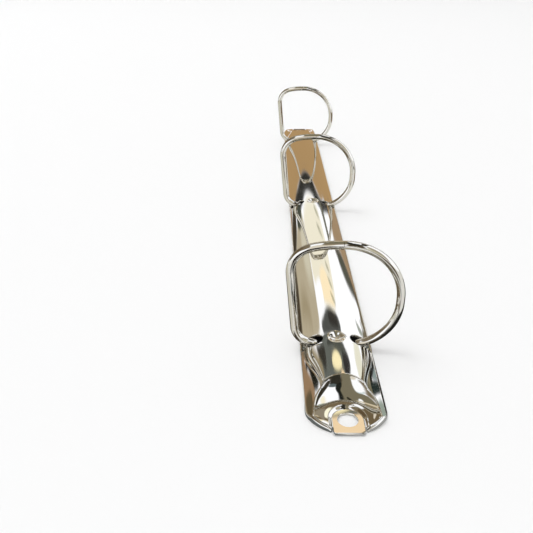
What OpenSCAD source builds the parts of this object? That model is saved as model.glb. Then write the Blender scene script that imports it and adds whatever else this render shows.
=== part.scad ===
// Three-ring binder mechanism: an arched sheet-metal cover, two hinge plates held
// under it, and three D-shaped rings, each in two halves that part at the top.
// X runs across, Y along the mechanism and Z up. The origin lies midway between the
// two mounting holes, on the plane that the mechanism is fastened to. It is drawn shut.

/* [Mounting] */
// Distance between the centres of the two mounting holes
hole_pitch = 276.2; // [256:0.1:300]
// Diameter of a mounting hole
hole_d = 5; // [3:0.1:6.4]
// Width of the flat tab around a mounting hole
tab_w = 7.8; // [7:0.1:9]
// Distance from a hole's centre to the end of its tab
tab_reach = 4.8; // [3.6:0.1:6]

/* [Cover] */
// Width of the cover
cover_w = 20.8; // [19.6:0.1:23]
// Height of the cover's crown
cover_h = 4.8; // [4.4:0.1:6]
// Height of the cover's upright side walls
wall_h = 1; // [0.8:0.1:1.3]
// Thickness of the cover's sheet
sheet_t = 0.65; // [0.5:0.05:0.75]
// Plan radius of the cover's rounded ends
nose_r = 11.4; // [10.8:0.1:13]
// Distance from a hole's centre to the cover's rounded end
nose_reach = 4.6; // [3.5:0.1:5.5]
// Radius of the ball-shaped dish pressed in at each end
dish_r = 22; // [16:0.5:28]
// Height of the ledge between a dish and its tab
dish_ledge = 1.3; // [1:0.1:1.8]
// Drop of the shoulders beside the crown, between the end slots and the dishes
shoulder_drop = 0.5; // [0.2:0.05:0.7]
// Distance from the cover's side to where a crease starts
crease_in = 2.3; // [1.5:0.1:3.5]
// Plan radius of the creases that lead from the end slots to the dishes
crease_r = 52; // [40:1:90]

/* [Slots and dimples] */
// Room beside a ring's wire in its slot
slot_side = 1.1; // [0.6:0.05:1.6]
// Room between the tip of a ring's foot and the inner end of its slot
slot_end = 1.2; // [0.6:0.1:1.8]
// Height of the side wall that is left standing below a slot
sill_h = 1; // [0.7:0.05:1.4]
// Diameter of the stop dimple between each pair of slots
dimple_d = 5; // [3:0.1:6]

/* [Rings] */
// Distance between neighbouring rings
ring_pitch = 108; // [95:0.5:115]
// Diameter of the ring wire
wire_d = 2.4; // [2:0.05:2.8]
// Height of a ring's outside above the base
ring_h = 35.2; // [30:0.1:45]
// Distance from the middle to where a ring parts, towards the posts
split_x = 0.3; // [-1:0.1:1]
// Length of the stepped lap where a ring parts
lap_l = 1.2; // [0.8:0.1:2]
// Distance from the middle to the centre of a ring's foot
foot_x = 6.4; // [5.8:0.1:6.8]
// Distance from the middle to the start of the crown's fall towards the post
crown_x = 4.6; // [3:0.1:6]
// Bend radius of the crown towards the post
crown_bend = 28; // [15:1:35]
// Distance from the middle to the corner above the post
post_top_x = 14.4; // [13:0.1:17]
// Depth of the corner above the post below the ring's crown
post_top_drop = 2; // [1:0.1:4]
// Bend radius above the post
post_top_bend = 7.4; // [5:0.1:8]
// Distance from the middle to the corner below the post
post_foot_x = 11.9; // [11.5:0.1:13]
// Height of the corner below the post
post_foot_z = 4.3; // [4:0.1:6]
// Bend radius below the post
post_foot_bend = 5.8; // [4:0.1:7]
// Distance from the middle to the wire's centre on the round side
round_x = 17.2; // [15.5:0.1:20]
// Bend radius of the round side's upper quarter
round_top_bend = 17; // [12:0.5:18]
// Height of the corner below the round side
round_foot_z = 5.5; // [4.5:0.1:7]
// Bend radius of the round side's lower quarter
round_foot_bend = 13.8; // [9:0.1:14.5]

/* [Hinge plates] */
// Thickness of a hinge plate
plate_t = 0.8; // [0.6:0.05:0.9]
// Distance from a hole's centre to the plates' ends
plate_back = 14.1; // [13.5:0.1:25]
// Fall of a plate towards the middle while the rings are shut, in degrees
shut_angle = 3; // [1.5:0.1:3.5]
// Swing of a plate from shut to open, in degrees
swing = 14.5; // [8:0.1:15]
// Width of the plates' narrowed ends, taken off their outer edges
plate_notch = 1.5; // [1.3:0.1:2.5]
// Number of fingers along the plates' meeting edges
finger_count = 8; // [4:2:8]
// Width of a finger
finger_w = 6; // [3:0.5:9]
// Reach of a finger past the middle
finger_l = 1.1; // [0.6:0.1:1.5]
// Width of the cover's lip under a plate's outer edge, inwards from the pivot
lip_in = 0.5; // [0.3:0.1:0.9]

/* [Ring feet] */
// Diameter of the tenon that holds a ring's foot in its plate
tenon_d = 1.3; // [1:0.05:1.4]
// Diameter of the tenon's peened head
head_d = 2.2; // [1.8:0.1:2.5]
// Thickness of the tenon's peened head
head_t = 0.25; // [0.15:0.05:0.3]
// Depth of the flat on the underside of a ring's foot
foot_flat = 0.3; // [0.25:0.05:0.4]

/* [Clearances] */
// Gap around a plate's outer edge, in the cover's corner
pivot_gap = 0.1; // [0.08:0.01:0.2]
// Gap between the two plates
middle_gap = 0.3; // [0.2:0.05:0.5]
// Gap between a finger and its notch
finger_gap = 0.35; // [0.2:0.05:0.5]
// Gap between the plates and the stop dimples when the rings are open
stop_gap = 0.12; // [0.05:0.01:0.2]
// Gap between the two halves of a ring
split_gap = 0.12; // [0.06:0.01:0.2]
// Gap around a tenon and under its head
tenon_gap = 0.03; // [0.01:0.01:0.06]

/* [Hidden] */

$fn = 64;
through = 2;                    // how far a cut runs past what it cuts
nickel = [0.80, 0.78, 0.73];
nickel_dull = [0.62, 0.61, 0.58];

bend_swell = 0.01;              // how much stouter the wire is in its bends
bend_grip = 0.15;               // how far a straight run reaches into a bend
least_run = 0.3;                // least straight run left between two bends

wire_r = wire_d / 2;
hole_y = hole_pitch / 2;
nose_y = hole_y + nose_reach - nose_r;

// The crown is an arc from one side wall to the other.
rise = cover_h - wall_h;
arch_r = (pow(cover_w / 2, 2) + pow(rise, 2)) / (2 * rise);
arch_z = cover_h - arch_r;
dish_z = dish_ledge + sqrt(pow(dish_r, 2) - pow(tab_w / 2, 2));

// A plate's rounded outer edge turns in the corner between the lip and the crown.
pivot_z = sheet_t + pivot_gap + plate_t / 2;
pivot_x = sqrt(pow(arch_r - sheet_t - pivot_gap - plate_t / 2, 2) - pow(pivot_z - arch_z, 2));
plate_w = (pivot_x - middle_gap / 2) / cos(shut_angle);
plate_end = hole_y - plate_back;
open_angle = swing - shut_angle;
plates_top_open = pivot_z + plate_w * sin(open_angle) + plate_t / 2 * cos(open_angle);

// The dimples reach down to the open plates.
dimple_depth = cover_h - sheet_t - plates_top_open - stop_gap;
dimple_r = (pow(dimple_d / 2, 2) + pow(dimple_depth, 2)) / (2 * dimple_depth);

slot_w = wire_d + 2 * slot_side;
slot_x = foot_x - wire_r - slot_end;
crease_x = cover_w / 2 - crease_in;
crease_y = ring_pitch + slot_w / 2;
ring_places = [-ring_pitch, 0, ring_pitch];
finger_pitch = 2 * plate_end / (finger_count + 1);

// A ring's foot stands on its plate, whose frame has its origin at the pivot.
foot_u = pivot_x - foot_x;
foot_v = plate_t / 2 + wire_r - foot_flat;
foot = [
    pivot_x - foot_u * cos(shut_angle) - foot_v * sin(shut_angle),
    pivot_z - foot_u * sin(shut_angle) + foot_v * cos(shut_angle)
];

// Corners and bend radii of the wire's centre line, from foot to parting point.
crown_z = ring_h - wire_r;
post_route = [
    [-foot[0], foot[1]], [-post_foot_x, post_foot_z],
    [-post_top_x, crown_z - post_top_drop], [-crown_x, crown_z], [lap_l - split_x, crown_z]
];
post_bends = [0, post_foot_bend, post_top_bend, crown_bend, 0];
round_route = [
    foot, [round_x, round_foot_z], [round_x, crown_z], [-lap_l - split_x, crown_z]
];
round_bends = [0, round_foot_bend, round_top_bend, 0];

// Bent wire: corners joined by straight runs and rounded by arcs.
function run(p, i) = norm(p[i + 1] - p[i]);
function way(p, i) = (p[i + 1] - p[i]) / run(p, i);
function inner(p, i) = i > 0 && i < len(p) - 1;
function turn(p, i) = acos(way(p, i - 1) * way(p, i));
function wish(p, r, i) = inner(p, i) ? r[i] * tan(turn(p, i) / 2) : 0;
function share(p, r, i) = min(1, (run(p, i) - least_run) / max(wish(p, r, i) + wish(p, r, i + 1), 0.001));
function setback(p, r, i) = inner(p, i) ? wish(p, r, i) * min(share(p, r, i - 1), share(p, r, i)) : 0;
function bend(p, r, i) = setback(p, r, i) / tan(turn(p, i) / 2);
function heading(v) = atan2(v[1], v[0]);

// A straight run reaches a little way into the slightly stouter bends at its ends.
module straight(p, r, i) {
    a = p[i] + way(p, i) * (i > 0 ? setback(p, r, i) - bend_grip : 0);
    b = p[i + 1] - way(p, i) * (i + 1 < len(p) - 1 ? setback(p, r, i + 1) - bend_grip : 0);
    translate([a[0], a[1], 0]) rotate([0, 90, heading(b - a)]) cylinder(d = wire_d, h = norm(b - a));
}

module corner(p, r, i) {
    into = way(p, i - 1);
    out = way(p, i);
    left = into[0] * out[1] - into[1] * out[0] > 0;
    side = left ? [-into[1], into[0]] : [into[1], -into[0]];
    centre = p[i] - into * setback(p, r, i) + side * bend(p, r, i);
    from = left ? heading(-side) : heading(-side) - turn(p, i);
    translate([centre[0], centre[1], 0]) rotate([0, 0, from])
        rotate_extrude(angle = turn(p, i)) translate([bend(p, r, i), 0]) circle(d = wire_d + bend_swell);
}

module wire(p, r) {
    rotate([90, 0, 0]) {
        for (i = [0 : len(p) - 2]) straight(p, r, i);
        for (i = [1 : len(p) - 2]) corner(p, r, i);
        translate([p[0][0], p[0][1], 0]) sphere(d = wire_d);
    }
}

// Places what is drawn in a plate's frame: X inwards is negative there, Z is its top side.
module on_plate(side) {
    mirror([side < 0 ? 1 : 0, 0, 0])
        translate([pivot_x, 0, pivot_z]) rotate([0, -shut_angle, 0]) children();
}

// Space beyond a half's end of the stepped lap: side -1 is the post's half, whose
// tongue lies above, and side 1 is the round half, whose tongue lies below.
module lap_space(side) {
    mid = side * split_gap / 2;
    reach = lap_l + split_x + wire_d;
    for (upper = [0, 1]) {
        tongue = side < 0 ? upper : 1 - upper;
        start = -split_x - side * (tongue - 0.5) * lap_l + mid;
        low = upper == 1 ? (side < 0 ? split_gap / 2 : -split_gap / 2) : -wire_d;
        high = upper == 1 ? wire_d : (side < 0 ? split_gap / 2 : -split_gap / 2);
        translate([side < 0 ? start : start - reach, -wire_d, crown_z + low])
            cube([reach, 2 * wire_d, high - low]);
    }
}

module ring_half(side, y) {
    color(nickel) translate([0, y, 0]) {
        difference() {
            wire(side < 0 ? post_route : round_route, side < 0 ? post_bends : round_bends);
            lap_space(side);
            on_plate(side) translate([-foot_u - wire_d, -wire_d, plate_t / 2 - wire_d])
                cube([2 * wire_d, 2 * wire_d, wire_d]);
        }
        on_plate(side) translate([-foot_u, 0, -plate_t / 2 - tenon_gap - head_t]) {
            cylinder(d = tenon_d, h = plate_t + tenon_gap + head_t + foot_flat);
            cylinder(d = head_d, h = head_t);
        }
    }
}

module hinge_plate(side) {
    color(nickel_dull) difference() {
        on_plate(side) difference() {
            union() {
                translate([-plate_w, -plate_end, -plate_t / 2]) cube([plate_w, 2 * plate_end, plate_t]);
                rotate([90, 0, 0]) cylinder(d = plate_t, h = 2 * plate_end, center = true);
                fingers(side, finger_l, 0);
            }
            fingers(-side, -finger_l, finger_gap);
            for (end = [-1, 1])
                translate([-plate_notch, end > 0 ? crease_y - slot_side : -plate_end - through, -plate_t])
                    cube([plate_notch + plate_t, plate_end - crease_y + slot_side + through, 2 * plate_t]);
            for (y = ring_places)
                translate([-foot_u, y, 0]) cylinder(r = tenon_d / 2 + tenon_gap, h = 2 * plate_t, center = true);
        }
    }
}

// Every second finger belongs to one plate: reach > 0 draws a plate's own fingers
// past its edge, and reach < 0 draws the notches for the other plate's fingers.
module fingers(side, reach, gap) {
    for (k = [0 : finger_count - 1])
        if ((side > 0 ? k : k + 1) % 2 == 0)
            translate([
                reach > 0 ? -plate_w - reach - middle_gap : -plate_w - through,
                -plate_end + (k + 1) * finger_pitch - finger_w / 2 - gap,
                -plate_t / (reach > 0 ? 2 : 1)
            ])
            cube([
                abs(reach) + (reach > 0 ? middle_gap + finger_gap : gap + through),
                finger_w + 2 * gap,
                plate_t * (reach > 0 ? 1 : 2)
            ]);
}

// The space under the crown, drawn in by inset and lowered by drop.
module arch(inset, drop) {
    rotate([90, 0, 0]) linear_extrude(height = 2 * (hole_y + nose_reach), center = true)
        intersection() {
            translate([0, arch_z - drop]) circle(r = arch_r - inset, $fn = 160);
            translate([inset - cover_w / 2, inset > 0 ? -through : 0])
                square([cover_w - 2 * inset, cover_h + through]);
        }
}

// Plan of the crown between the creases, drawn in by inset.
module crown_plan(inset) {
    square([cover_w + through, 2 * (crease_y - inset)], center = true);
    for (end = [-1, 1])
        translate([0, end * crease_y]) intersection_for (side = [-1, 1])
            translate([side * (crease_x - crease_r), 0]) circle(r = crease_r - inset, $fn = 160);
}

// Plan of the whole cover without its tabs, drawn in by inset.
module cover_plan(inset) {
    square([cover_w, 2 * nose_y], center = true);
    for (end = [-1, 1]) translate([0, end * nose_y]) circle(r = nose_r - inset, $fn = 96);
}

module pressed_sheet(inset) {
    bottom = inset > 0 ? -through : 0;
    intersection() {
        union() {
            arch(inset, shoulder_drop);
            intersection() {
                arch(inset, 0);
                translate([0, 0, bottom]) linear_extrude(height = cover_h + 2 * through) crown_plan(inset);
            }
        }
        translate([0, 0, bottom]) linear_extrude(height = cover_h + 2 * through) cover_plan(inset);
    }
}

// The dish and the pocket over its tab, grown by the sheet's thickness for the underside.
module dish(grow) {
    translate([0, hole_y, dish_z]) rotate([0, 0, 90]) sphere(r = dish_r + grow, $fn = 96);
    translate([0, 0, sheet_t - grow]) linear_extrude(height = cover_h) {
        translate([0, hole_y]) circle(d = tab_w + 2 * grow);
        translate([-tab_w / 2 - grow, hole_y]) square([tab_w + 2 * grow, tab_reach + through]);
    }
}

module dimple(grow) {
    translate([0, 0, cover_h - dimple_depth + dimple_r]) sphere(r = dimple_r + grow);
}

module slot(side) {
    mirror([side < 0 ? 1 : 0, 0, 0]) translate([0, 0, sill_h]) {
        translate([slot_x + slot_w / 2, 0, 0]) cylinder(d = slot_w, h = cover_h);
        translate([slot_x + slot_w / 2, -slot_w / 2, 0]) cube([cover_w / 2, slot_w, cover_h]);
    }
}

// A lip turned in along a side wall, on which a plate's outer edge turns.
module lip(side) {
    mirror([side < 0 ? 1 : 0, 0, 0])
        translate([pivot_x - lip_in, slot_side - crease_y, 0])
            cube([cover_w / 2 - sheet_t / 2 - pivot_x + lip_in, 2 * (crease_y - slot_side), sheet_t]);
}

module tab() {
    translate([-tab_w / 2, hole_y, 0]) cube([tab_w, tab_reach, sheet_t]);
}

module both_ends() {
    for (end = [0, 1]) mirror([0, end, 0]) children();
}

module cover() {
    color(nickel) difference() {
        union() {
            difference() {
                pressed_sheet(0);
                both_ends() dish(0);
                for (y = ring_places) translate([0, y, 0]) dimple(0);
                difference() {
                    pressed_sheet(sheet_t);
                    both_ends() dish(sheet_t);
                    for (y = ring_places) translate([0, y, 0]) dimple(sheet_t);
                }
                for (y = ring_places, side = [-1, 1]) translate([0, y, 0]) slot(side);
            }
            for (side = [-1, 1]) lip(side);
            both_ends() tab();
        }
        both_ends() translate([0, hole_y, -through]) cylinder(d = hole_d, h = sheet_t + 2 * through);
    }
}

module hinge_plate_left() { hinge_plate(-1); }
module hinge_plate_right() { hinge_plate(1); }
module ring_left_front() { ring_half(-1, ring_places[0]); }
module ring_left_middle() { ring_half(-1, ring_places[1]); }
module ring_left_rear() { ring_half(-1, ring_places[2]); }
module ring_right_front() { ring_half(1, ring_places[0]); }
module ring_right_middle() { ring_half(1, ring_places[1]); }
module ring_right_rear() { ring_half(1, ring_places[2]); }

cover();
hinge_plate_left();
hinge_plate_right();
ring_left_front();
ring_left_middle();
ring_left_rear();
ring_right_front();
ring_right_middle();
ring_right_rear();
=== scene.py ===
"""Looks for a three-ring binder mechanism: nickel-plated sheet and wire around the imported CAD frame.

Lengths named below are in millimetres, like the CAD source, and become metres in mesh_object().
"""

import math

import bpy
import numpy as np
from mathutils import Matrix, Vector
from mathutils.geometry import delaunay_2d_cdt


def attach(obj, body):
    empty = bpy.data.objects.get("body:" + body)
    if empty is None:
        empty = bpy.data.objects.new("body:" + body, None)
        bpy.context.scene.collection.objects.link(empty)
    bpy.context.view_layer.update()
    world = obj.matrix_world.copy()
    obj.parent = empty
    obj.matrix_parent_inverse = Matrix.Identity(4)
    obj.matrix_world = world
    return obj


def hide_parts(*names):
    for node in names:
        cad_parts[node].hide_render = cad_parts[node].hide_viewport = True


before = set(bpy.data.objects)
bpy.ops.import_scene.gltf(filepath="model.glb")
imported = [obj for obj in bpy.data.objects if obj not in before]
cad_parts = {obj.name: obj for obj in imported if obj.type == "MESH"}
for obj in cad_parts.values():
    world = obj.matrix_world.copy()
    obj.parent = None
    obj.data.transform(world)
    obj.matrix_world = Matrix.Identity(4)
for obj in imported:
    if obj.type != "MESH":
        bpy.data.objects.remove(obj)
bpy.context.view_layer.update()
MM = 0.001

# Cover
HALF_W = 10.4  # half the cover's width
CROWN_H = 4.8  # height of the crown
WALL_H = 1.0  # height at which the crown meets the side walls
SHEET_T = 0.65  # thickness of the sheet
FOLD_R = 0.8  # outside radius of the folds to the walls
EDGE_ROUND = 0.12  # how far a sheared edge rounds out
EDGE_STEPS = 6  # faces across a sheared edge
FOLD_ROWS = 9  # rows of points round a fold
SILL_ROW = 5  # the row at which a slot leaves the wall standing
WALL_ROWS = 9  # rows below the fold, down the wall or round the lip
LIP_ROWS = 3  # how many of them lie on the lip's flat
LIP_R = 0.75  # outside radius of the fold to the lip
LIP_X = 7.79  # inner edge of the lip
LIP_END = 109.2  # where the lips end
LIP_RUN_OUT = 0.9  # length over which a lip runs out into the plain wall
FINE = 0.4  # spacing of points near shapes
COARSE = 4.0  # spacing of points along plain stretches
FINE_REACH = 5  # how far from a ring the points stay fine
WIDENING = 0.3  # how fast their spacing grows from there
RING_PITCH = 108.0  # from ring to ring
HOLE_Y = 138.1  # mounting hole
HOLE_R = 2.5
TAB_HALF = 3.9  # half the end tab's width
TAB_END = 142.88  # its tilted edge reaches 0.01 mm further
TAB_CORNER = 0.5
TAB_TILT = 0.038  # the tab rises this much per mm to its end
RELIEF = 0.6  # slit between the tab and the end wall
NOSE_Y = 131.3  # centre of the rounded end
NOSE_R = 11.4
NOSE_FILLET = 6.0  # rounds the corner between the side and the nose
LEDGE_Z = 1.3  # height of the dish beside the tab
DISH_REACH = 12.95  # where the dish is as high as the crown, from the hole's centre
DISH_CURVE = 4.2  # how much flatter the dish is inside than at its rim
RIM_BLEND = 0.25  # softens the dish's rim
LEDGE_W = 1.0  # width of the step from the dish down to the tab
CREASE_X = 9.05  # a crease starts this far out, beside the end slot
CREASE_IN = 3.35  # how far it draws in on its way to the dish
CREASE_Y = 112.3  # where it starts to draw in
CREASE_L = 16.4  # length over which it draws in
SHOULDER_DROP = 0.5  # how much lower the shoulder outside the crease is
CREASE_W = 0.85  # width of the step at the crease
END_DROP = 0.035  # how much lower an end lies, from an arc round its dimple on
END_Y = 110.2  # centre of that arc
END_R = 4.1
SLOT_X = 4.0  # inner end of a slot
SLOT_R = 2.3  # half a slot's width
DIMPLE_R = 4.05  # radius of the ball that presses a dimple
DIMPLE_DEPTH = 0.864
DIMPLE_BLEND = 0.35

# Rings
WIRE_R = 1.2
RING_H = 35.2
FOOT = (6.33, 2.35)  # x and z of a foot's end
SPLIT_X = -0.3  # where the halves of a ring meet
LAP_L = 1.2  # length of the stepped lap there
SPLIT_GAP = 0.12
POST_CORNERS = [(-11.9, 4.3), (-14.4, 32.0), (-4.6, 34.0)]  # x and z of the wire's corners
POST_BENDS = [5.8, 7.4, 28.0]
ROUND_CORNERS = [(17.2, 5.5), (17.2, 34.0)]
ROUND_BENDS = [13.8, 17.0]

LEAST_RUN = 0.3  # least straight run left between two bends
RUN_STEP = 1.5  # spacing of rings of points along a straight run
BEND_STEP = 0.35  # and round a bend
WIRE_SIDES = 44
FOOT_TILTS = range(84, 0, -12)  # degrees at which points round off a foot's end
SHARP_ANGLE = math.radians(35)  # edges of the wire that turn more are sharp
PIVOT = (8.286, 1.15)  # where a plate turns
SHUT_ANGLE = math.radians(3)
PLATE_T = 0.8
FOOT_IN = 1.886  # from the pivot to the foot
FOOT_FLAT = 0.3
TENON_R = 0.65
TENON_GAP = 0.03
TENON_SIDES = 32
HEAD_R = 1.1
HEAD_T = 0.25
HEAD_DOME = [(1, 0.6), (0.86, 0.2), (0.5, 0)]  # shares of the head's radius and height

# Materials and stage
NICKEL = (0.72, 0.7, 0.64)
WIRE_EDGE_SHADE = (0.3, 0.28, 0.22)  # painted shade: the wire is darker where it turns away
ZINC = (0.62, 0.62, 0.6)
NOISE_SPAN = (0.3, 0.7)  # noise values that span the roughness
FLOOR_R = 8000.0
FLOOR_SIDES = 96
FLOOR_GREY = 0.9
ROOM_LIGHT = 0.85
LAMP_POWER = 48  # watts
LAMP_SIZE = 2.4  # metres, as the next one
LAMP_PLACE = (-1.5, 0.5, 3.9)
CAMERA_SENSOR = 36
CAMERA_LENS = 38.97
CAMERA_PLACE = (-0.01921, -0.24641, 0.10031)  # metres
CAMERA_TILT = (62.26, 0, 0.43)  # degrees

RINGS = {"front": -RING_PITCH, "middle": 0.0, "rear": RING_PITCH}

ARCH_R = (HALF_W ** 2 + (CROWN_H - WALL_H) ** 2) / (2 * (CROWN_H - WALL_H))
ARCH_Z = CROWN_H - ARCH_R
SLOT_EDGE = SLOT_R + EDGE_ROUND

# Spacing of points in the cover's plan
FOLD_PASSES = 6  # rounds that settle where a fold starts
RIM_LIMIT = 15.0  # the dish's rim lies nearer to the hole's centre
RIM_HALVINGS = 30  # halvings that find it
DIMPLE_RADII = np.arange(0.3, 3.3, 0.24)
DIMPLE_STEP = 0.3
CREASE_SIDES = np.arange(-0.75, 0.76, 0.19)
CREASE_STEP = 0.35
RIM_ANGLES = np.radians(np.arange(0, 140, 1.6))
RIM_SIDES = np.arange(-1.2, 1.3, 0.2)
LEDGE_SIDES = np.arange(-0.1, 1.2, 0.15)
LEDGE_STEP = 0.25
SHAPE_GAP = 0.17  # least distance of these points from the border
FILL_GAP = 0.27  # least distance of the rest from both
FILL_STEP = 0.9  # widest spacing across the cover
TINY = 1e-6


# ---------------- the pressed sheet

def smooth(t):
    """0 below 0, 1 above 1, and an even S between."""
    t = np.clip(t, 0.0, 1.0)
    return t * t * (3 - 2 * t)


def soft_min(a, b, width):
    """The lower of two heights, with their crossing rounded."""
    near = np.maximum(width - np.abs(a - b), 0.0) / width
    return np.minimum(a, b) - near * near * width / 4


def crease_x(y):
    """Distance from the middle line to the crease, at a place along the cover."""
    return CREASE_X - CREASE_IN * smooth((np.abs(y) - CREASE_Y) / CREASE_L)


def crown(x, y):
    """Height of the arched crown and its lower shoulders."""
    x, y = np.abs(x), np.abs(y)
    outside = x - crease_x(y)
    past_slot = smooth((y - RING_PITCH) / (2 * SLOT_R) + 0.5)
    past_arc = smooth(0.5 + np.maximum(END_R - np.hypot(x, y - END_Y), y - END_Y))
    arch = ARCH_Z + np.sqrt(ARCH_R ** 2 - x * x)
    return arch - END_DROP * past_arc - SHOULDER_DROP * past_slot * smooth(0.5 + outside / CREASE_W)


def ball(radius, bottom, from_centre):
    """Height of a ball-shaped hollow at a plan distance from its centre."""
    return bottom + radius - np.sqrt(np.maximum(radius ** 2 - from_centre ** 2, TINY))


def dish(from_centre):
    """Height of the dish at a plan distance from the hole's centre."""
    return LEDGE_Z + (CROWN_H - LEDGE_Z) * (from_centre / DISH_REACH) ** DISH_CURVE


def height(x, y):
    """Height of the sheet's upper face over the plan, before it folds down to the walls."""
    x, y = np.abs(x), np.abs(y)
    z = crown(x, y)
    for ring_y in (0.0, RING_PITCH):
        z = soft_min(z, ball(DIMPLE_R, CROWN_H - DIMPLE_DEPTH, np.hypot(x, y - ring_y)), DIMPLE_BLEND)
    z = soft_min(z, dish(np.hypot(x, y - HOLE_Y)), RIM_BLEND)
    from_tab = np.where(y < HOLE_Y, np.hypot(x, y - HOLE_Y), x) - TAB_HALF
    tab = SHEET_T + TAB_TILT * np.maximum(y - HOLE_Y + TAB_HALF, 0)
    return tab + (z - tab) * smooth(from_tab / LEDGE_W)


def slopes(x, y):
    """Slopes of the sheet along X and Y."""
    step = 1e-4
    along_x = (height(x + step, y) - height(x - step, y)) / (2 * step)
    along_y = (height(x, y + step) - height(x, y - step)) / (2 * step)
    return along_x, along_y


def arc_points(centre, radius, start, end, step=FINE):
    """Points on an arc between two angles in degrees, at most a step apart."""
    count = int(abs(math.radians(end - start)) * radius / step) + 2
    angles = np.radians(np.linspace(start, end, count))
    return np.stack([centre[0] + radius * np.cos(angles), centre[1] + radius * np.sin(angles)], axis=-1)


def spacing(y):
    """How far apart points stand at a place along the cover."""
    from_middle = max(abs(y) - FINE_REACH, 0)
    from_end = RING_PITCH - abs(y) - FINE_REACH if abs(y) < RING_PITCH else 0
    return min(FINE + WIDENING * max(min(from_middle, from_end), 0), COARSE)


def stations(start, end):
    """Places from start to end, spaced as spacing() says."""
    places = [start]
    while places[-1] + spacing(places[-1]) < end:
        places.append(places[-1] + spacing(places[-1]))
    reached = places[-1] + spacing(places[-1])
    return start + (np.array(places) - start) * (end - start) / (reached - start)


def outline_columns():
    """Points of the outline from the right side's middle to the tab's relief, with outward normals."""
    fillet_x = HALF_W - NOSE_FILLET
    fillet_y = NOSE_Y + math.sqrt((NOSE_R - NOSE_FILLET) ** 2 - fillet_x ** 2)
    turn = math.degrees(math.atan2(fillet_y - NOSE_Y, fillet_x))
    nose_end = math.degrees(math.acos((TAB_HALF + RELIEF) / NOSE_R))
    slot_ends = (RING_PITCH - SLOT_EDGE, RING_PITCH, LIP_END, RING_PITCH + SLOT_EDGE)
    edges = [0, SLOT_EDGE, *slot_ends, fillet_y]
    side = np.concatenate([stations(a, b) for a, b in zip(edges, edges[1:])])
    columns = [(HALF_W, y, 1.0, 0.0) for y in side]
    corner = ((fillet_x, fillet_y), NOSE_FILLET, 0, turn)
    nose = ((0, NOSE_Y), NOSE_R, turn, nose_end)
    for centre, radius, start, end in (corner, nose):
        for x, y in arc_points(centre, radius, start, end)[0 if start == 0 else 1:]:
            columns.append((x, y, (x - centre[0]) / radius, (y - centre[1]) / radius))
    return columns


def fold_column(x, y, out_x, out_y):
    """Points and normals down the fold and the wall below one point of the outline."""
    radius, tilt = FOLD_R, 0.0
    for _ in range(FOLD_PASSES):
        offset = radius * (1 + math.sin(tilt))
        base_x, base_y = x - offset * out_x, y - offset * out_y
        along_x, along_y = slopes(base_x, base_y)
        tilt = math.atan(along_x * out_x + along_y * out_y)
        top = float(height(base_x, base_y))
        radius = min(FOLD_R, (top - EDGE_ROUND) / math.cos(tilt))
    sideways = (along_x * out_y - along_y * out_x) / math.hypot(1, along_x, along_y)
    points, normals = [], []
    for row, angle in enumerate(np.linspace(tilt, -math.pi / 2, FOLD_ROWS)):
        reach = radius * (math.sin(tilt) - math.sin(angle)) - offset
        z = top + radius * (math.cos(angle) - math.cos(tilt))
        points.append((x + reach * out_x, y + reach * out_y, z))
        side = sideways * (1 - row / (FOLD_ROWS - 1))
        flat = -math.sin(angle)
        normals.append((flat * out_x - side * out_y, flat * out_y + side * out_x, math.cos(angle)))
    foot_z = points[-1][2]
    turned_in = smooth((LIP_END - y) / LIP_RUN_OUT)
    for row in range(1, WALL_ROWS + 1):
        plain = (0.0, foot_z + (EDGE_ROUND - foot_z) * row / WALL_ROWS, 0.0)
        lip = lip_point(row - 1)
        inwards, z, angle = (a + (b - a) * turned_in for a, b in zip(plain, lip))
        points.append((x - inwards * out_x, y - inwards * out_y, z))
        normals.append((math.cos(angle) * out_x, math.cos(angle) * out_y, -math.sin(angle)))
    return points, normals


def lip_point(row):
    """Distance inwards, height and turn of one row round a lip, from the wall to its inner edge."""
    bend_rows = WALL_ROWS - LIP_ROWS
    angle = min(row / (bend_rows - 1), 1) * math.pi / 2
    flat = max(row - bend_rows + 1, 0) / LIP_ROWS * (HALF_W - LIP_R - LIP_X - EDGE_ROUND)
    return LIP_R * (1 - math.cos(angle)) + flat, LIP_R * (1 - math.sin(angle)), angle


def in_slot(y):
    return min(abs(y), abs(y - RING_PITCH)) < SLOT_EDGE - TINY


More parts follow.
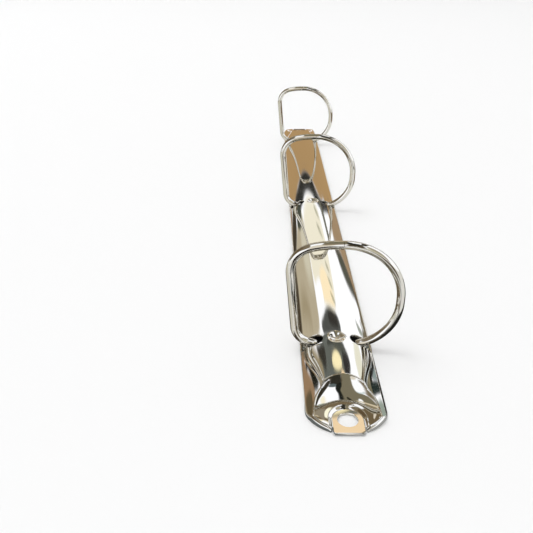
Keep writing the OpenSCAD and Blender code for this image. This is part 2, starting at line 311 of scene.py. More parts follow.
def quarter_plan(base):
    """The quarter plan's closed boundary. base is the line where the folds start."""
    slot_x = SLOT_X + SLOT_R
    near_y, far_y = RING_PITCH - SLOT_EDGE, RING_PITCH + SLOT_EDGE
    side, end = TAB_HALF - EDGE_ROUND, TAB_END - EDGE_ROUND
    last_x, last_y = base[-1]
    hole_edge = HOLE_R + EDGE_ROUND
    lines = [
        [(x, 0.0) for x in np.arange(0, SLOT_X - EDGE_ROUND, FINE)],
        arc_points((slot_x, 0), SLOT_EDGE, 180, 90),
        [(x, SLOT_EDGE) for x in np.arange(slot_x + FINE, HALF_W - FOLD_R, FINE)],
        [p for p in base if p[1] < near_y + TINY and not in_slot(p[1])],
        [(x, near_y) for x in np.arange(HALF_W - FOLD_R, slot_x + FINE / 2, -FINE)],
        arc_points((slot_x, RING_PITCH), SLOT_EDGE, 270, 90),
        [(x, far_y) for x in np.arange(slot_x + FINE, HALF_W - FOLD_R, FINE)],
        [p for p in base if p[1] > RING_PITCH and not in_slot(p[1])],
        [((last_x + side) / 2, last_y - RELIEF / 2)],
        [(side, y) for y in np.arange(last_y - RELIEF / 4, end - TAB_CORNER, FINE)],
        arc_points((side - TAB_CORNER, end - TAB_CORNER), TAB_CORNER, 0, 90, FINE / 3),
        [(x, end) for x in np.arange(side - TAB_CORNER - FINE, FINE / 2, -FINE)],
        [(0.0, y) for y in np.arange(end, HOLE_Y + hole_edge + FINE / 2, -FINE)],
        arc_points((0, HOLE_Y), hole_edge, 90, -90, FINE / 2),
        [(0.0, y) for y in stations(0, HOLE_Y - hole_edge)[:0:-1]],
    ]
    return np.array([(float(x), float(y)) for line in lines for x, y in line])


def rim_radius(angle):
    """Plan distance from the hole's centre to the rim, at an angle from the way to the middle."""
    low, high = TAB_HALF, RIM_LIMIT
    for _ in range(RIM_HALVINGS):
        mid = (low + high) / 2
        x, y = mid * math.sin(angle), HOLE_Y - mid * math.cos(angle)
        low, high = (mid, high) if dish(mid) < crown(x, y) else (low, mid)
    return mid


def shape_points():
    """Points in rows along the dimples, creases, dish rim and ledge of one quarter."""
    rows = []
    for ring_y in (0.0, RING_PITCH):
        for radius in DIMPLE_RADII:
            rows.append(arc_points((0, ring_y), radius, -90, 90, DIMPLE_STEP))
    crease_ys = np.arange(RING_PITCH + SLOT_EDGE, CREASE_Y + CREASE_L, CREASE_STEP)
    for side in CREASE_SIDES:
        rows.append([(crease_x(y) + side, y) for y in crease_ys])
    for angle in RIM_ANGLES:
        radius = rim_radius(angle)
        for side in RIM_SIDES:
            place = radius + side
            rows.append([(place * math.sin(angle), HOLE_Y - place * math.cos(angle))])
    for side in LEDGE_SIDES:
        rows.append(arc_points((0, HOLE_Y), TAB_HALF + side, -90, 0, LEDGE_STEP))
        rows.append([(TAB_HALF + side, y) for y in np.arange(HOLE_Y + LEDGE_STEP, TAB_END, LEDGE_STEP)])
    return np.array([(float(x), float(y)) for row in rows for x, y in row])


def inside(points, line):
    """Which points lie inside a closed line."""
    ahead = np.roll(line, -1, axis=0)
    found = np.zeros(len(points), bool)
    for (x0, y0), (x1, y1) in zip(line, ahead):
        if y0 != y1:
            crosses = (points[:, 1] < y0) != (points[:, 1] < y1)
            found ^= crosses & (points[:, 0] < x0 + (points[:, 1] - y0) * (x1 - x0) / (y1 - y0))
    return found


def apart(points, others, gap):
    """The points that lie at least a gap from each of the others and from each other."""
    cells = {}
    for p in others:
        cells.setdefault((int(p[0] // gap), int(p[1] // gap)), []).append(p)
    kept = []
    for p in points:
        i, j = int(p[0] // gap), int(p[1] // gap)
        near = [q for a in (-1, 0, 1) for b in (-1, 0, 1) for q in cells.get((i + a, j + b), [])]
        if all(math.hypot(p[0] - q[0], p[1] - q[1]) >= gap for q in near):
            kept.append(p)
            cells.setdefault((i, j), []).append(p)
    return np.array(kept)


def triangulate(points, count):
    """Triangles inside the closed line that the first count of the points make."""
    line = [(i, (i + 1) % count) for i in range(count)]
    made, _, faces, sources, _, _ = delaunay_2d_cdt([Vector(p) for p in points], line, [], 1, TINY)
    return np.array([tuple(p) for p in made]), faces, sources


def plan_triangles(border):
    """Points and triangles that fill the quarter plan. The border's points come first."""
    rows = []
    for k, y in enumerate(stations(0, TAB_END)):
        across = min(spacing(y), FILL_STEP)
        rows.append([(x, y) for x in np.arange(across * (0.5 if k % 2 else 1), HALF_W, across)])
    fill = np.array([p for row in rows for p in row])
    shapes = shape_points()
    shapes = shapes[inside(shapes, border)]
    shapes = apart(shapes, border, SHAPE_GAP)
    fill = fill[inside(fill, border)]
    fill = apart(fill, np.concatenate([border, shapes]), FILL_GAP)
    points = np.concatenate([border, shapes, fill])
    _, faces, sources = triangulate(points, len(border))
    source = [s[0] if s else -1 for s in sources]
    if -1 in source:
        raise ValueError("the plan's border crosses itself")
    triangles = np.array([[source[i] for i in face] for face in faces])
    a, b, c = (points[triangles[:, i]] for i in range(3))
    turn = (b[:, 0] - a[:, 0]) * (c[:, 1] - a[:, 1]) - (b[:, 1] - a[:, 1]) * (c[:, 0] - a[:, 0])
    triangles[turn < 0] = triangles[turn < 0][:, ::-1]
    return points, triangles[np.abs(turn) > TINY / 10]


def quarter_sheet():
    """Upper face of one quarter of the cover: points, normals and faces."""
    columns = outline_columns()
    folds = [fold_column(*column) for column in columns]
    base = [fold[0][0][:2] for fold in folds]
    border = quarter_plan(base)
    plan, triangles = plan_triangles(border)
    along_x, along_y = slopes(plan[:, 0], plan[:, 1])
    normals = np.stack([-along_x, -along_y, np.ones(len(plan))], axis=-1)
    points = np.column_stack([plan, height(plan[:, 0], plan[:, 1])])
    faces = [tuple(t) for t in triangles]
    points, normals = list(points), list(normals)
    row_count = len(folds[0][0])
    numbers = np.arange(len(folds) * row_count).reshape(len(folds), row_count) + len(points)
    for fold_points, fold_normals in folds:
        points.extend(fold_points)
        normals.extend(fold_normals)
    for k in range(len(folds) - 1):
        middle = (columns[k][1] + columns[k + 1][1]) / 2
        for row in range(SILL_ROW if in_slot(middle) and columns[k][0] == HALF_W else 0, row_count - 1):
            a, b = numbers[k][row], numbers[k][row + 1]
            c, d = numbers[k + 1][row + 1], numbers[k + 1][row]
            faces.append((a, b, c, d))
    normals = np.array(normals)
    return np.array(points), normals / np.linalg.norm(normals, axis=1, keepdims=True), faces


def mirrored(points, normals, faces):
    """The quarter sheet and its three mirror images, joined where they meet."""
    all_points, all_normals, all_faces = [], [], []
    for flip in ((1, 1, 1), (-1, 1, 1), (1, -1, 1), (-1, -1, 1)):
        start = sum(len(p) for p in all_points)
        order = 1 if flip[0] * flip[1] > 0 else -1
        all_points.append(points * flip)
        all_normals.append(normals * flip)
        all_faces += [tuple(start + i for i in face[::order]) for face in faces]
    all_points, all_normals = np.concatenate(all_points), np.concatenate(all_normals)
    _, first, place = np.unique(all_points.round(4), axis=0, return_index=True, return_inverse=True)
    place = place.ravel()
    joined = []
    for face in all_faces:
        corners = [int(place[i]) for i in face]
        corners = [c for n, c in enumerate(corners) if c != corners[n - 1]]
        if len(corners) > 2:
            joined.append(tuple(corners))
    return all_points[first], all_normals[first], joined


def free_edges(faces):
    """Directed edges that only one face has."""
    edges = {(a, b) for face in faces for a, b in zip(face, face[1:] + face[:1])}
    return [(a, b) for a, b in edges if (b, a) not in edges]


def outward_ways(points, normals, edges):
    """The way out of the sheet, in its own plane, at each point of a free edge."""
    outward = {}
    for a, b in edges:
        way = points[b] - points[a]
        for end in (a, b):
            side = np.cross(way, normals[end])
            outward[end] = outward.get(end, 0) + side / np.linalg.norm(side)
    for end in outward:
        side = outward[end] - normals[end] * (outward[end] @ normals[end])
        outward[end] = side / np.linalg.norm(side)
    return outward


def edge_strips(points, normals, outward, thickness, bulge):
    """New points round the free edges, and the numbers and normals of all points across each edge."""
    strips, numbers, across = [], {}, {}
    for end, side in outward.items():
        numbers[end], across[end] = [end], [normals[end] * 0.5 + side]
        for step in range(1, EDGE_STEPS):
            turn = math.pi * step / EDGE_STEPS
            sunk = normals[end] * thickness * (1 - math.cos(turn)) / 2
            numbers[end].append(2 * len(points) + len(strips))
            strips.append(points[end] - sunk + side * bulge * math.sin(turn))
            across[end].append(
                side * math.sin(turn) / bulge + normals[end] * math.cos(turn) / (thickness / 2))
        numbers[end].append(len(points) + end)
        across[end].append(side - normals[end] * 0.5)
    return np.array(strips), numbers, across


def sheet_solid(points, normals, faces, thickness, bulge):
    """A sheet's two faces and the rounded strip along its edges, with a normal for each face corner."""
    used = sorted({i for face in faces for i in face})
    number = {old: new for new, old in enumerate(used)}
    faces = [tuple(number[i] for i in face) for face in faces]
    points, normals = points[used], normals[used]
    count = len(points)
    edges = free_edges(faces)
    outward = outward_ways(points, normals, edges)
    strips, rim, rim_normals = edge_strips(points, normals, outward, thickness, bulge)
    all_faces = list(faces) + [tuple(count + i for i in face[::-1]) for face in faces]
    corner_normals = [normals[i] for face in faces for i in face]
    corner_normals += [-normals[i] for face in faces for i in face[::-1]]
    for a, b in edges:
        for step in range(EDGE_STEPS):
            all_faces.append((rim[b][step], rim[a][step], rim[a][step + 1], rim[b][step + 1]))
            corner_normals += [rim_normals[b][step], rim_normals[a][step],
                               rim_normals[a][step + 1], rim_normals[b][step + 1]]
    all_points = np.concatenate([points, points - thickness * normals, strips])
    return all_points, all_faces, np.array(corner_normals)


def mesh_object(name, points, faces, corner_normals=None, material=None):
    """A smooth-shaded object from points in millimetres, with a normal for each face corner."""
    mesh = bpy.data.meshes.new(name)
    mesh.from_pydata((np.asarray(points, float) * MM).tolist(), [], faces)
    mesh.shade_smooth()
    if corner_normals is not None:
        lengths = np.linalg.norm(corner_normals, axis=1, keepdims=True)
        mesh.normals_split_custom_set((corner_normals / lengths).tolist())
    obj = bpy.data.objects.new(name, mesh)
    bpy.context.scene.collection.objects.link(obj)
    if material:
        mesh.materials.append(material)
    return obj


# ---------------- bent wire

def route_points(corners, bends):
    """Points and directions along a wire's centre line, with its corners rounded to the bend radii."""
    corners = [np.array(c, float) for c in corners]
    last = len(corners) - 1
    runs = [np.linalg.norm(b - a) for a, b in zip(corners, corners[1:])]
    ways = [(b - a) / run for a, b, run in zip(corners, corners[1:], runs)]
    turns = [0.0] + [math.acos(a @ b) for a, b in zip(ways, ways[1:])] + [0.0]
    radii = [0.0] + list(bends) + [0.0]
    wishes = [radius * math.tan(turn / 2) for radius, turn in zip(radii, turns)]
    shares = [min(1.0, (run - LEAST_RUN) / (a + b)) for run, a, b in zip(runs, wishes, wishes[1:])]
    setbacks = [0.0] + [wishes[i] * min(shares[i - 1], shares[i]) for i in range(1, last)] + [0.0]
    points, directions = [], []
    for i in range(last):
        start = corners[i] + ways[i] * setbacks[i]
        end = corners[i + 1] - ways[i] * setbacks[i + 1]
        for part in np.linspace(0, 1, int(np.linalg.norm(end - start) / RUN_STEP) + 2):
            points.append(start + (end - start) * part)
            directions.append(ways[i])
        if i + 1 < last:
            radius = setbacks[i + 1] / math.tan(turns[i + 1] / 2)
            across = ways[i + 1] - ways[i] * (ways[i] @ ways[i + 1])
            across /= np.linalg.norm(across)
            count = int(turns[i + 1] * radius / BEND_STEP) + 3
            for turn in np.linspace(0, turns[i + 1], count)[1:-1]:
                points.append(end + radius * (ways[i] * math.sin(turn) + across * (1 - math.cos(turn))))
                directions.append(ways[i] * math.cos(turn) + across * math.sin(turn))
    return points, directions


def section(centre, way, radius, angles):
    """Points round the wire at one place. Angle 90 is the wire's inner side on its way to the lap."""
    across = np.array([-way[1], way[0]])
    reach = centre + radius * np.sin(angles)[:, None] * across
    return np.column_stack([reach[:, 0], radius * np.cos(angles), reach[:, 1]])


def section_angles():
    """Angles of the points round the wire: those of the lap's upper half, and all."""
    chord = math.asin(SPLIT_GAP / 2 / WIRE_R)
    half = WIRE_SIDES // 2
    upper = np.linspace(chord, math.pi - chord, half)
    lower = np.linspace(math.pi - chord, 2 * math.pi + chord, WIRE_SIDES - half + 2)[1:-1]
    return upper, np.concatenate([upper, lower])


def tube_faces(rings, count):
    """Faces between rings of count points each."""
    faces = []
    for ring in range(rings - 1):
        for k in range(count):
            a, b = ring * count + k, ring * count + (k + 1) % count
            faces.append((a, a + count, b + count, b))
    return faces


def lap_faces(first, half, count):
    """Faces of the lap, which goes on from the upper half of the points that start at first."""
    tongue = first + count
    faces = [tuple([first + half - 1] + [first + k for k in range(half, count)] + [first])[::-1]]
    for k in range(half - 1):
        faces.append((first + k, tongue + k, tongue + k + 1, first + k + 1))
    faces.append((first, first + half - 1, tongue + half - 1, tongue))
    faces.append(tuple(tongue + k for k in range(half))[::-1])
    return faces


def flatten_foot(shape, pivot, plate_normal):
    """Moves the points that would sink into the plate up to its face."""
    depth = (shape[:, [0, 2]] - pivot) @ plate_normal - PLATE_T / 2
    sunk = (depth < 0) & (shape[:, 2] < FOOT[1] + WIRE_R)
    shape[sunk, 0] -= depth[sunk] * plate_normal[0]
    shape[sunk, 2] -= depth[sunk] * plate_normal[1]


def bent_wire(side, corners, bends):
    """Points and faces of one half of a ring, from its rounded foot to its stepped lap."""
    facing = -side
    body_end = SPLIT_X - facing * (LAP_L + SPLIT_GAP) / 2
    crown_z = RING_H - WIRE_R
    route = [(side * FOOT[0], FOOT[1])] + list(corners) + [(body_end, crown_z)]
    points, directions = route_points(route, bends)
    upper, angles = section_angles()
    rings = []
    for tilt in np.radians(FOOT_TILTS):
        centre = points[0] - directions[0] * WIRE_R * math.sin(tilt)
        rings.append(section(centre, directions[0], WIRE_R * math.cos(tilt), angles))
    rings += [section(p, w, WIRE_R, angles) for p, w in zip(points, directions)]
    count = len(angles)
    faces = [tuple(range(count))] + tube_faces(len(rings), count)
    faces += lap_faces((len(rings) - 1) * count, len(upper), count)
    lap_end = np.array([body_end + facing * LAP_L, crown_z])
    rings.append(section(lap_end, directions[-1], WIRE_R, upper))
    return np.concatenate(rings), faces


def ring_half(name, side, corners, bends, ring_y, material):
    """One half of a ring: a bent wire with a flattened foot, a tenon and a stepped lap at its end."""
    shape, faces = bent_wire(side, corners, bends)
    pivot = np.array([side * PIVOT[0], PIVOT[1]])
    plate_normal = np.array([-side * math.sin(SHUT_ANGLE), math.cos(SHUT_ANGLE)])
    flatten_foot(shape, pivot, plate_normal)
    tenon_points, tenon_faces = tenon(side, pivot, plate_normal)
    faces += [tuple(len(shape) + i for i in face) for face in tenon_faces]
    shape = np.concatenate([shape, tenon_points])
    shape[:, 1] += ring_y
    ring = mesh_object(name, shape, [face[::-1] for face in faces], material=material)
    ring.data.set_sharp_from_angle(angle=SHARP_ANGLE)
    return ring


def tenon(side, pivot, up):
    """The peened tenon under a foot, as points and faces of a turned shape."""
    along = np.array([-side * up[1], side * up[0]]) * side
    foot = pivot + np.array([-side * math.cos(SHUT_ANGLE), -math.sin(SHUT_ANGLE)]) * FOOT_IN
    bottom = -PLATE_T / 2 - TENON_GAP - HEAD_T
    head_top = bottom + HEAD_T
    profile = [(TENON_R, PLATE_T / 2 + FOOT_FLAT), (TENON_R, head_top), (HEAD_R, head_top)]
    profile += [(HEAD_R * wide, bottom + HEAD_T * high) for wide, high in HEAD_DOME]
    points, count = [], TENON_SIDES
    for radius, rise in profile:
        for k in range(count):
            turn = 2 * math.pi * k / count
            place = foot + up * rise + along * radius * math.cos(turn)
            points.append((place[0], radius * math.sin(turn), place[1]))
    faces = [(a, d, c, b) for a, b, c, d in tube_faces(len(profile), count)]
    faces.append(tuple(range(count))[::-1])
    faces.append(tuple(range(len(points) - count, len(points))))
    return np.array(points), faces


# ---------------- materials

def new_metal(name, colour, roughness):
    """A metal's material, with its node tree and its shader."""
    material = bpy.data.materials.new(name)
    material.use_nodes = True
    shader = material.node_tree.nodes["Principled BSDF"]
    shader.inputs["Base Color"].default_value = (*colour, 1)
    shader.inputs["Metallic"].default_value = 1.0
    shader.inputs["Roughness"].default_value = roughness
    return material, material.node_tree, shader


def empty_material(name):
    """A material without nodes, and its node tree."""
    material = bpy.data.materials.new(name)
    material.use_nodes = True
    material.node_tree.nodes.clear()
    return material, material.node_tree


def add_node(tree, kind, **values):
    """A new shader node, with the values of its sockets."""
    node = tree.nodes.new("ShaderNode" + kind)
    for socket, value in values.items():
        node.inputs[socket.replace("_", " ")].default_value = value
    return node


def link(source, output, target, socket):
    """Joins one node's output to another's socket."""
    source.id_data.links.new(source.outputs[output], target.inputs[socket])


def vary_roughness(tree, shader, scale, low, high):
    """Roughness that wanders between two values, as on handled metal."""
    place = add_node(tree, "TexCoord")
    noise = add_node(tree, "TexNoise", Scale=scale, Detail=4)
    from_min, from_max = NOISE_SPAN
    spread = add_node(tree, "MapRange", From_Min=from_min, From_Max=from_max, To_Min=low, To_Max=high)
    link(place, "Object", noise, "Vector")
    link(noise, "Fac", spread, "Value")
    link(spread, "Result", shader, "Roughness")


def add_bump(tree, shader, scale, strength, depth, stretch):
    """A fine unevenness of the surface, drawn out along an axis by stretch."""
    place = add_node(tree, "TexCoord")
    scaling = add_node(tree, "Mapping", Scale=stretch)
    noise = add_node(tree, "TexNoise", Scale=scale, Detail=2)
    bump = add_node(tree, "Bump", Strength=strength, Distance=depth)
    link(place, "Object", scaling, "Vector")
    link(scaling, "Vector", noise, "Vector")
    link(noise, "Fac", bump, "Height")
    link(bump, "Normal", shader, "Normal")


def nickel_sheet():
    material, tree, shader = new_metal("nickel_sheet", NICKEL, roughness=0.03)
    vary_roughness(tree, shader, scale=90, low=0.02, high=0.05)
    add_bump(tree, shader, scale=60, strength=0.02, depth=0.0002, stretch=(1, 0.4, 1))
    return material


def nickel_wire():
    material, tree, shader = new_metal("nickel_wire", NICKEL, roughness=0.04)
    vary_roughness(tree, shader, scale=160, low=0.03, high=0.06)
    # painted shade: a dark specular tint darkens the wire where it turns away
    shader.inputs["Specular Tint"].default_value = (*WIRE_EDGE_SHADE, 1)
    return material


def zinc_plate():
    material, tree, shader = new_metal("zinc_plate", ZINC, roughness=0.3)
    vary_roughness(tree, shader, scale=220, low=0.24, high=0.38)
    add_bump(tree, shader, scale=400, strength=0.25, depth=0.0001, stretch=(1, 0.05, 1))
    return material


# ---------------- the pieces

def build_cover():
    sheet = sheet_solid(*mirrored(*quarter_sheet()), SHEET_T, EDGE_ROUND)
    cover = mesh_object("plated_cover", *sheet, material=nickel_sheet())
    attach(cover, "cover")
    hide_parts("cover")


def build_rings():
    wire = nickel_wire()
    for place, ring_y in RINGS.items():
        halves = (("left", -1, POST_CORNERS, POST_BENDS), ("right", 1, ROUND_CORNERS, ROUND_BENDS))
        for hand, side, corners, bends in halves:
            half = ring_half(f"wire_{hand}_{place}", side, corners, bends, ring_y, wire)
            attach(half, f"{hand}_plate")
            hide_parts(f"ring_{hand}_{place}")


def dress_plates():
    zinc = zinc_plate()
    for hand in ("left", "right"):
        plate = bpy.data.objects[f"hinge_plate_{hand}"]
        for number in range(len(plate.material_slots)):
            plate.material_slots[number].material = zinc


# ---------------- stage

def lay_floor():
    material, tree = empty_material("floor")
    paint = add_node(tree, "BsdfDiffuse", Color=(FLOOR_GREY, FLOOR_GREY, FLOOR_GREY, 1))
    output = add_node(tree, "OutputMaterial")
    link(paint, "BSDF", output, "Surface")
    around = np.linspace(0, 2 * math.pi, FLOOR_SIDES, endpoint=False)
    rim = np.column_stack([FLOOR_R * np.cos(around), FLOOR_R * np.sin(around), np.zeros(FLOOR_SIDES)])
    floor = mesh_object("floor", rim, [tuple(range(FLOOR_SIDES))], material=material)


def light_world():
    """A white room: white as seen by the camera and in metal, a little softer as light."""
    world = bpy.data.worlds.new("room")
    bpy.context.scene.world = world
    world.use_nodes = True
    tree = world.node_tree
    tree.nodes.clear()
    path = add_node(tree, "LightPath")
    seen = add_node(tree, "Math")
    seen.operation = "MAXIMUM"
    white = add_node(tree, "Background", Color=(1, 1, 1, 1), Strength=1)
    soft = add_node(tree, "Background", Color=(1, 1, 1, 1), Strength=ROOM_LIGHT)
    mix = add_node(tree, "MixShader")
    output = add_node(tree, "OutputWorld")
    link(path, "Is Camera Ray", seen, 0)
    link(path, "Is Glossy Ray", seen, 1)
    link(seen, 0, mix, "Fac")
    link(soft, "Background", mix, 1)
    link(white, "Background", mix, 2)
    link(mix, "Shader", output, "Surface")


def hang_lamp():
    data = bpy.data.lights.new("window", "AREA")
    data.shape = "DISK"
    data.size = LAMP_SIZE
    data.energy = LAMP_POWER
    lamp = bpy.data.objects.new("window", data)
    bpy.context.scene.collection.objects.link(lamp)
    lamp.location = LAMP_PLACE
    lamp.rotation_euler = Vector(LAMP_PLACE).to_track_quat("Z", "Y").to_euler()
    lamp.visible_glossy = False


# ---------------- studio cards

